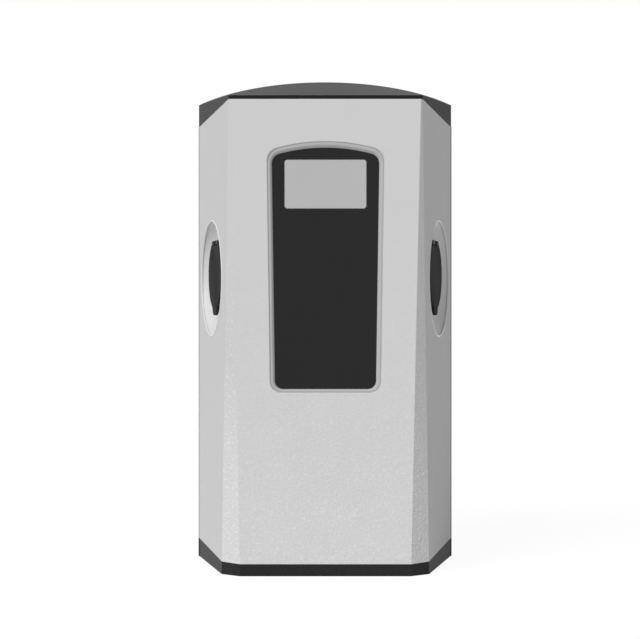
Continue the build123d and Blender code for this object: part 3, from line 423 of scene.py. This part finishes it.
def make_finishes():
    """Every finish of the object: by the record's material slot, and then those of single pieces.
    A plastic has its two colours, roughness, grain, depth, gloss, bloom and painted top light, and a metal
    its two colours, roughness and grain. Real tool grain is 0.1 to 0.3 mm, and turning marks are finer: both
    are too fine to show, and are drawn as coarse as they need to be in a close view.
    """
    plastic, metal = moulded_plastic, plated_metal
    # The cap's last colour is painted light: a paler grey on its top faces.
    cap = ("202020", "242424", 0.6, 0.8, 0.03, 0.02, 0.13, "383838")
    return {
        "shell_grey": textured_powder_coat(),
        # Moulded polycarbonate with a spark-eroded skin: near black, matt, paler where seen aslant.
        "cap_dark": plastic("moulded_polycarbonate_cap", *cap),
        "base_dark": plastic("moulded_polycarbonate_foot", "262626", "2A2A2A", 0.6, 0.8, 0.03, 0.06, 0.08),
        "housing_dark": two_tone_housing(),
        # Moulded foam rubber: dull black, with an uneven skin.
        "seal_rubber": plastic("moulded_foam_rubber", "161616", "1D1D1D", 0.85, 1.0, 0.08),
        # Zinc plate on turned steel: bright, with fine marks.
        "screw_steel": metal("zinc_plated_steel", "A4A6A8", "B8BABC", 0.3, 0.3),
        # Hard-coated film: even and black, with a weak, soft gloss.
        "panel_black": plastic("hard_coated_polycarbonate_film", "272727", "292929", 0.5, 0.6, 0.005, 0.06),
        # Cast acrylic over a display that is off: an even, smooth grey.
        "screen_grey": plastic("acrylic_over_display", "B5B5B5", "B8B8B8", 0.35, 0.6, 0.002, 0.2),
        # Solder mask on glass epoxy: green, and faintly uneven from the glass below.
        "board_green": plastic("solder_masked_glass_epoxy", "12452B", "185535", 0.4, 1.5, 0.02),
        # Nickel plate on turned brass: warm and bright.
        "spacer_brass": metal("nickel_plated_brass", "B9A268", "CDB67C", 0.3, 0.4),
        # Extruded flat lead: pale grey, with a grain as wide as its conductors are apart, 1.27 mm.
        "ribbon_grey": plastic("extruded_flat_lead", "8F9092", "A3A4A6", 0.5, 1.27, 0.1),
        # Galvanised sheet: dull silver, faintly streaked.
        "plate_zinc": metal("galvanised_sheet", "9EA1A3", "B4B7B9", 0.4, 1.5),
        # Moulded nylon: dark grey with a soft grain, half matt on the glands and matt on the lids.
        "gland_grey": plastic("moulded_nylon_gland", "3A3B3D", "424345", 0.5, 1.0, 0.03),
        "lid_black": plastic("moulded_nylon_lid", "2A2A2A", "2E2E2E", 0.7, 0.8, 0.03, 0.01, 0.035),
        # Glass-filled polyester: black, a little glossier than the lids.
        "socket_black": plastic("moulded_polyester_socket", "1E1E1E", "242424", 0.45, 0.9, 0.02),
        # Silver plate on turned copper: pale, bright and slightly warm.
        "contact_silver": metal("silver_plated_copper", "D8D6CF", "E8E6E0", 0.2, 0.4),
        # Spring steel blackened by oxide: dark, with a dull metal gleam.
        "pin_steel": metal("black_oxidised_spring_steel", "2B2B2C", "363637", 0.5, 0.3),
        # Extruded rubber sheath: black and slightly chalky.
        "lead_orange": plastic("extruded_rubber_sheath", "191919", "202020", 0.6, 1.0, 0.05),
        # Moulded polyamide: light grey cases, a blue toggle and a yellow button, all half matt.
        "device_grey": plastic("moulded_polyamide_case", "C4C5C3", "CDCECC", 0.5, 1.0, 0.02),
        "toggle_blue": plastic("moulded_polyamide_toggle", "1F2F55", "26386A", 0.45, 1.0, 0.02),
        "button_yellow": plastic("moulded_polyamide_button", "C9A52A", "D6B238", 0.45, 1.0, 0.02),
        # Polycarbonate from a smooth tool: the dishes shade softly, with a half gloss.
        "bowl": plastic("moulded_polycarbonate_bowl", "CACACA", "CECECE", 0.4, 0.8, 0.01, 0.5, 0.1),
        # The same, polished: the dishes' beads catch the light as fine bright lines.
        "bead": plastic("polished_polycarbonate_bead", "CCCCCC", "D0D0D0", 0.3, 0.8, 0.002, 0.5),
        # The same with a matt skin: the frame round the panel stays quiet.
        "trim": plastic("moulded_polycarbonate_trim", "B2B2B2", "B6B6B6", 0.6, 0.8, 0.01, 0.1),
        # Silicone: grey and matt, so that the seams stay soft.
        "gasket": plastic("moulded_silicone_gasket", "9A9A9A", "A2A2A2", 0.7, 0.8, 0.02, 0.2),
        # The frame seal's deeper grey is painted shade, for the shadow gap at the rim of the panel's bevel.
        "shadow_gap_seal": plastic("silicone_seal_painted_shade", "A2A2A2", "A8A8A8", 0.7, 0.8, 0.02, 0.2),
    }


def dress_nodes(finishes):
    """Gives each node the finish of its slot, and the bowls and the gasket their own."""
    slots = {row["node"]: row["material_slot"] for row in frame["record"]["subparts"]}
    own = {"right_bowl": "bowl", "left_bowl": "bowl", "housing_gasket": "gasket"}
    for name, node in nodes.items():
        finish = finishes[own.get(name, slots[name])]
        if not node.material_slots:
            node.data.materials.append(finish)
        for slot in node.material_slots:
            slot.material = finish


def paper_floor():
    """Matt white paper: it looks near white and keeps a faint shadow. Its fibre, really a tenth of a
    millimetre across, is drawn as coarse as it needs to be to show."""
    finish, tree = new_finish("white_studio_paper")
    place = add(tree, "ShaderNodeTexCoord").outputs["Object"]
    fibre = add(tree, "ShaderNodeTexNoise", {"Vector": place, "Scale": grains(paper_fibre), "Detail": 2.0})
    colour = add(
        tree,
        "ShaderNodeMix",
        {"Factor": fibre.outputs["Fac"], "A": linear("E4E4E4"), "B": linear("EAEAEA")},
        data_type="RGBA",
    ).outputs["Result"]
    matt = add(tree, "ShaderNodeBsdfDiffuse", {"Color": colour})
    glow = add(tree, "ShaderNodeEmission", {"Color": (1, 1, 1, 1), "Strength": paper_glow})
    share = add(tree, "ShaderNodeMapRange", {"Value": seen_share(tree), "To Min": 0.0, "To Max": paper_level})
    both = add(
        tree,
        "ShaderNodeMixShader",
        {0: share.outputs["Result"], 1: matt.outputs["BSDF"], 2: glow.outputs["Emission"]},
    )
    add(tree, "ShaderNodeOutputMaterial", {"Surface": both.outputs["Shader"]})
    return finish


def make_floor():
    """A wide level sheet that the object stands on."""
    half = paper_half * mm
    points = [(-half, -half, 0), (half, -half, 0), (half, half, 0), (-half, half, 0)]
    mesh = bpy.data.meshes.new("studio_floor")
    mesh.from_pydata(points, [], [(0, 1, 2, 3)])
    mesh.materials.append(paper_floor())
    floor = bpy.data.objects.new("studio_floor", mesh)
    bpy.context.scene.collection.objects.link(floor)


# Places on the object, in millimetres: across, up and out of a face

overall_depth = 201.0
back_half_width = 159.8
brow_half_width = 111.3
foot_depth = 174.3
brow_height = 557.1
foot_seam = 14.2
dish_depth = 89.4
dish_height = 349.02
face_foot_depth = 173.6
wall_y = overall_depth / 2
side_slope = math.atan((back_half_width - brow_half_width) / overall_depth)
lean = math.atan((overall_depth - foot_depth) / (brow_height - foot_seam))
face_foot_y = wall_y - face_foot_depth
weld_distance = 0.001


def dish_place(side):
    """Maps places in a side's dish to the model: towards the wall, up, and out along its axis."""
    half_width = back_half_width - math.tan(side_slope) * dish_depth
    centre = Vector((side * half_width, wall_y - dish_depth, dish_height))
    wallwards = Vector((side * math.sin(side_slope), math.cos(side_slope), 0))
    outwards = Vector((side * math.cos(side_slope), -math.sin(side_slope), 0))
    return lambda across, up, out: (centre + across * wallwards + Vector((0, 0, up)) + out * outwards) * mm


def face_place():
    """Maps places on the leaning front face: to the right, up the face, and out of it."""
    upwards = Vector((0, -math.sin(lean), math.cos(lean)))
    outwards = Vector((0, -math.cos(lean), -math.sin(lean)))
    foot = Vector((0, face_foot_y, 0))
    return lambda across, up, out: (foot + Vector((across, 0, 0)) + up * upwards + out * outwards) * mm


def finish_piece(name, shape, finish, body, crease=35):
    """Turns a mesh under construction into a piece with its finish and body."""
    bmesh.ops.remove_doubles(shape, verts=shape.verts, dist=weld_distance * mm)
    bmesh.ops.recalc_face_normals(shape, faces=shape.faces)
    mesh = bpy.data.meshes.new(name)
    shape.to_mesh(mesh)
    shape.free()
    mesh.materials.append(finish)
    mesh.shade_smooth()
    mesh.set_sharp_from_angle(angle=math.radians(crease))
    piece = bpy.data.objects.new(name, mesh)
    bpy.context.scene.collection.objects.link(piece)
    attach(piece, body)
    return piece


def arc(centre, radius, start, end, steps):
    """Points along an arc, in degrees, with both ends."""
    angles = [math.radians(start + (end - start) * step / steps) for step in range(steps + 1)]
    return [(centre[0] + radius * math.cos(angle), centre[1] + radius * math.sin(angle)) for angle in angles]


def sweep_ring(shape, path, section, place):
    """A closed band: a section, given as reach outwards and level, carried round a closed path."""
    rows = []
    count = len(path)
    for index, (x, y) in enumerate(path):
        before, after = path[index - 1], path[(index + 1) % count]
        along = Vector((after[0] - before[0], after[1] - before[1])).normalized()
        outward = Vector((-along.y, along.x))
        margins = section(outward) if callable(section) else section
        row = []
        for reach, level in margins:
            row.append(shape.verts.new(place(x + outward.x * reach, y + outward.y * reach, level)))
        rows.append(row)
    for index, row in enumerate(rows):
        after = rows[(index + 1) % count]
        for place_in_row in range(len(row)):
            following = (place_in_row + 1) % len(row)
            shape.faces.new((row[place_in_row], row[following], after[following], after[place_in_row]))


def prism(shape, outline, low, high, place, round_edge=0.0):
    """A flat piece with a drawn outline, and its top edge rounded where a radius is given."""
    top = [shape.verts.new(place(x, y, high)) for x, y in outline]
    foot = [shape.verts.new(place(x, y, low)) for x, y in outline]
    shape.faces.new(foot[::-1])
    shape.faces.new(top)
    rim = []
    for index in range(len(outline)):
        following = (index + 1) % len(outline)
        shape.faces.new((foot[index], foot[following], top[following], top[index]))
        rim.append(shape.edges.get((top[index], top[following])))
    if round_edge:
        bmesh.ops.bevel(shape, geom=rim, offset=round_edge * mm, segments=3, profile=0.5, affect="EDGES")


def tube(shape, centre, outer, inner, low, high, place, steps=24):
    """A short tube along the dish's across axis, round a pin."""
    ends = []
    for across in (low, high):
        for radius in (outer, inner):
            ring = arc(centre, radius, 0, 360 - 360 / steps, steps - 1)
            ends.append([shape.verts.new(place(across, up, out)) for up, out in ring])
    low_outer, low_inner, high_outer, high_inner = ends
    round_wall = (low_outer, high_outer, high_inner, low_inner, low_outer)
    for one, two in zip(round_wall, round_wall[1:]):
        for index in range(steps):
            following = (index + 1) % steps
            shape.faces.new((one[index], one[following], two[following], two[index]))


# Spring lids, as round as the photograph shows them, with a narrow tab

lid_radius = 41.9
lid_centre = (0, 4.8)
lid_face = -3.6
lid_under = -6.5
lid_back = -9.3
lid_skirt = 2.5
hinge_height = 43.6
hinge_level = -6.3
knuckle_radius = 3.0
pin_bore = 1.55
lid_edge_round = 0.9
skirt_start = 124
skirt_end = 416
bar_foot = 37.6
bar_foot_half = 24
bar_top_half = 22.5
knuckle_span = (5.1, 11.9)
ear_notch = (11.9, 18.5)
notch_foot = 39.6
spring_notch_foot = 38.6
tab_half = 14.6
tab_foot = -44.6
tab_round_across = 13.0
tab_round_up = 10.0
cover_inner = 42.3
cover_outer = 41.6
cover_foot = -13.5
cover_top = -8.9
cover_overlap = 2


def disc_height(across):
    """How high the lid's disc reaches at one place across it."""
    return lid_centre[1] + math.sqrt(lid_radius**2 - across**2)


def lid_outline():
    """The lid seen face on: a disc with notches for the hinge's ears and a rounded tab below."""
    half = math.sqrt(lid_radius**2 - tab_half**2)
    tab_start = math.degrees(math.atan2(-half, tab_half))
    crown = math.degrees(math.atan2(disc_height(ear_notch[1]) - lid_centre[1], ear_notch[1]))
    right = arc(lid_centre, lid_radius, crown, tab_start, 56)
    across, up = tab_half - tab_round_across, tab_foot + tab_round_up
    corner = [(across + x * tab_round_across, up + y * tab_round_up) for x, y in arc((0, 0), 1, 0, -90, 10)]
    hinge = [
        (knuckle_span[0], spring_notch_foot),
        (knuckle_span[0], hinge_height),
        (ear_notch[0], hinge_height),
        (ear_notch[0], notch_foot),
        (ear_notch[1], notch_foot),
    ]
    half_outline = hinge + right + corner
    return half_outline + [(-x, y) for x, y in reversed(half_outline)]


def make_lid(side, name, finish):
    """A moulded lid: a plate with a rounded edge, a skirt below it, a hinge bar and two knuckles."""
    place = dish_place(side)
    shape = bmesh.new()
    prism(shape, lid_outline(), lid_under, lid_face, place, lid_edge_round)
    half_bar = [
        (bar_foot_half, bar_foot),
        (bar_top_half, notch_foot),
        (knuckle_span[0], notch_foot),
        (knuckle_span[0], spring_notch_foot),
    ]
    bar = [(-bar_foot_half, bar_foot)] + half_bar + [(-x, y) for x, y in half_bar[:0:-1]]
    prism(shape, bar, lid_back, lid_under, place)
    outer = arc(lid_centre, lid_radius, skirt_start, skirt_end, 80)
    inner = arc(lid_centre, lid_radius - lid_skirt, skirt_end, skirt_start, 80)
    prism(shape, outer + inner, lid_back, lid_under, place)
    for end in (-1, 1):
        low, high = sorted(end * edge for edge in knuckle_span)
        tube(shape, (hinge_height, hinge_level), knuckle_radius, pin_bore, low, high, place)
    lid = finish_piece(name + "_lid_cover", shape, finish, name + "_lid")
    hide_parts(name + "_lid")


def make_flange_cover(side, name, finish):
    """A pale crescent below the lid, over the socket's flange and its lower screws."""
    lift = lid_centre[1]
    meet_up = (cover_outer**2 - cover_inner**2 + lift**2) / (2 * lift)
    meet_across = math.sqrt(cover_outer**2 - meet_up**2)
    inner_end = math.degrees(math.atan2(meet_up - lift, meet_across)) - cover_overlap
    outer_end = math.degrees(math.atan2(meet_up, meet_across)) + cover_overlap
    inner = arc(lid_centre, cover_inner, inner_end, -180 - inner_end, 48)
    outer = arc((0, 0), cover_outer, -180 - outer_end, outer_end, 48)
    shape = bmesh.new()
    prism(shape, inner + outer, cover_foot, cover_top, dish_place(side))
    finish_piece(name + "_flange_cover", shape, finish, "housing")


# Drive recesses in the sockets' screws

socket_screw_place = 26.7
flange_level = -9.6
drive_radius = 1.55
drive_lobes = 6
drive_swell = 0.16
drive_depth = 0.3
drive_proud = 0.04
points_a_lobe = 8


def make_drives(side, name, finish):
    """The six-lobed drive of each socket screw, drawn as a dark inlay in its head: painted shade for the
    recess.
    """
    place = dish_place(side)
    shape = bmesh.new()
    for across in (-socket_screw_place, socket_screw_place):
        for up in (-socket_screw_place, socket_screw_place):
            lobes = []
            for step in range(points_a_lobe * drive_lobes):
                angle = math.radians(360 * step / (points_a_lobe * drive_lobes))
                radius = drive_radius * (1 + drive_swell * math.cos(drive_lobes * angle))
                lobes.append((across + radius * math.cos(angle), up + radius * math.sin(angle)))
            prism(shape, lobes, flange_level - drive_depth, flange_level + drive_proud, place)
    finish_piece(name + "_socket_screw_drive_shade", shape, finish, "housing")


# Bright beads round the dishes

bead_radius = 69.95
bead_level = -0.35
bead_round = 1.2
bead_points = 144
bead_sides = 12


def make_bead(side, name, finish):
    """A fine round bead, half sunk in the bowl's rim."""
    shape = bmesh.new()
    path = arc((0, 0), bead_radius, 0, -360 + 360 / bead_points, bead_points - 1)
    section = arc((0, bead_level), bead_round, 0, 360 - 360 / bead_sides, bead_sides - 1)
    sweep_ring(shape, path, section, dish_place(side))
    finish_piece(name + "_bowl_bead", shape, finish, "housing")


# Window frame: the trim round the panel, and the seals beside it

panel_peak = 497.2
panel_foot = 218.52
panel_foot_half = 58.5
panel_top_half = 62.0
panel_arch = 207.0
panel_top_round = 11.5
panel_foot_round = 9.5
bevel_side = 6.2
bevel_top = 7.8
bevel_foot = 4.5
shadow_gap_width = 1.6
screen_half_width = 47.4
screen_top = 483.6
screen_foot = 427.1
screen_round = 3.5
arch_shares = (-1, -0.78, -0.6, -0.4, -0.2, 0, 0.2, 0.4, 0.6, 0.78, 1)

# Sections as pairs of reach outwards and level. The knees' reach is a share of the trim's width, and
# the lip's and the frame seal's are counted from their outer edges.
trim_foot = [(0.2, -4.3), (0.2, -3.7)]
trim_knees = [(0.42, -1.35), (0.5, -1.1)]
trim_lip = [(-0.3, -0.75), (0, -0.85), (0, -3.0)]
shadow_gap_section = [(-shadow_gap_width, -1.9), (-1.5, -0.75), (-0.5, -0.25), (-0.5, -1.6)]
panel_seal_section = [(-0.9, -4.1), (-0.9, -3.9), (0.1, -3.8), (0.1, -4.1)]
screen_seal_section = [(0.05, -4.1), (0.05, -3.85), (0.9, -3.9), (0.9, -4.1)]


def rounded_outline(corners, rounds, steps=8):
    """A closed outline through its corners, clockwise, each rounded by its own radius."""
    points = []
    count = len(corners)
    for index, (corner, radius) in enumerate(zip(corners, rounds)):
        here = Vector(corner)
        if not radius:
            points.append((here.x, here.y))
            continue
        back = (Vector(corners[index - 1]) - here).normalized()
        onward = (Vector(corners[(index + 1) % count]) - here).normalized()
        half_angle = back.angle(onward) / 2
        centre = here + (back + onward).normalized() * radius / math.sin(half_angle)
        start = here + back * radius / math.tan(half_angle) - centre
        end = here + onward * radius / math.tan(half_angle) - centre
        for step in range(steps + 1):
            spoke = start.lerp(end, step / steps).normalized() * radius
            points.append((centre.x + spoke.x, centre.y + spoke.y))
    return points


def up_face(height):
    """The way up the leaning face to a height."""
    return height / math.cos(lean)


def panel_outline():
    """The panel's outline on the face: an arched top and a slightly narrower foot."""
    peak = up_face(panel_peak)
    places = [panel_top_half * share for share in arch_shares]
    arch = [(x, peak - panel_arch + math.sqrt(panel_arch**2 - x**2)) for x in places]
    foot = [(panel_foot_half, up_face(panel_foot)), (-panel_foot_half, up_face(panel_foot))]
    rounds = [panel_top_round] + [0] * (len(places) - 2) + [panel_top_round]
    rounds += [panel_foot_round, panel_foot_round]
    return rounded_outline(arch + foot, rounds)


def bevel_margin(outward):
    """How wide the bevel is where the outline faces one way: most at the top, least at the foot."""
    upright = bevel_top if outward.y > 0 else bevel_foot
    return math.hypot(outward.x * bevel_side, outward.y * upright)


def frame_section(outward):
    """Steep beside the panel, then nearly flush with the front."""
    width = bevel_margin(outward) - shadow_gap_width
    knees = [(share * width, level) for share, level in trim_knees]
    return trim_foot + knees + [(width + reach, level) for reach, level in trim_lip]


def gap_section(outward):
    """The seal outside the trim, which fills the seam to the front. Its grey is painted shade for the shadow
    in that seam.
    """
    edge = bevel_margin(outward)
    return [(edge + reach, level) for reach, level in shadow_gap_section]


def make_window_frame(trim, shadow_gap_seal, seal):
    """A moulded trim on the bevel, a grey seal outside it, and black ones round the panel's and the display's
    edges. The seals' colours are painted shade for the shadow gaps beside the trim, the panel and the
    display."""
    outline = panel_outline()
    place = face_place()
    shape = bmesh.new()
    sweep_ring(shape, outline, frame_section, place)
    finish_piece("panel_frame_trim", shape, trim, "housing")
    shape = bmesh.new()
    sweep_ring(shape, outline, gap_section, place)
    finish_piece("panel_frame_shadow_gap", shape, shadow_gap_seal, "housing")
    # Painted shade: black rings at the panel's edge and round the display stand for the shadow gaps there.
    shape = bmesh.new()
    sweep_ring(shape, outline, panel_seal_section, place)
    half = screen_half_width
    corners = [(-half, screen_top), (half, screen_top), (half, screen_foot), (-half, screen_foot)]
    screen = rounded_outline([(x, up_face(height)) for x, height in corners], [screen_round] * 4)
    sweep_ring(shape, screen, screen_seal_section, place)
    finish_piece("panel_edge_shadow_seals", shape, seal, "housing")


make_camera()
make_key()
make_world()
make_floor()
finishes = make_finishes()
dress_nodes(finishes)
for side, name in ((1, "right"), (-1, "left")):
    make_lid(side, name, finishes["lid_black"])
    make_flange_cover(side, name, finishes["bowl"])
    make_drives(side, name, finishes["socket_black"])
    make_bead(side, name, finishes["bead"])
make_window_frame(finishes["trim"], finishes["shadow_gap_seal"], finishes["seal_rubber"])

bpy.context.scene.view_settings.view_transform = "Standard"
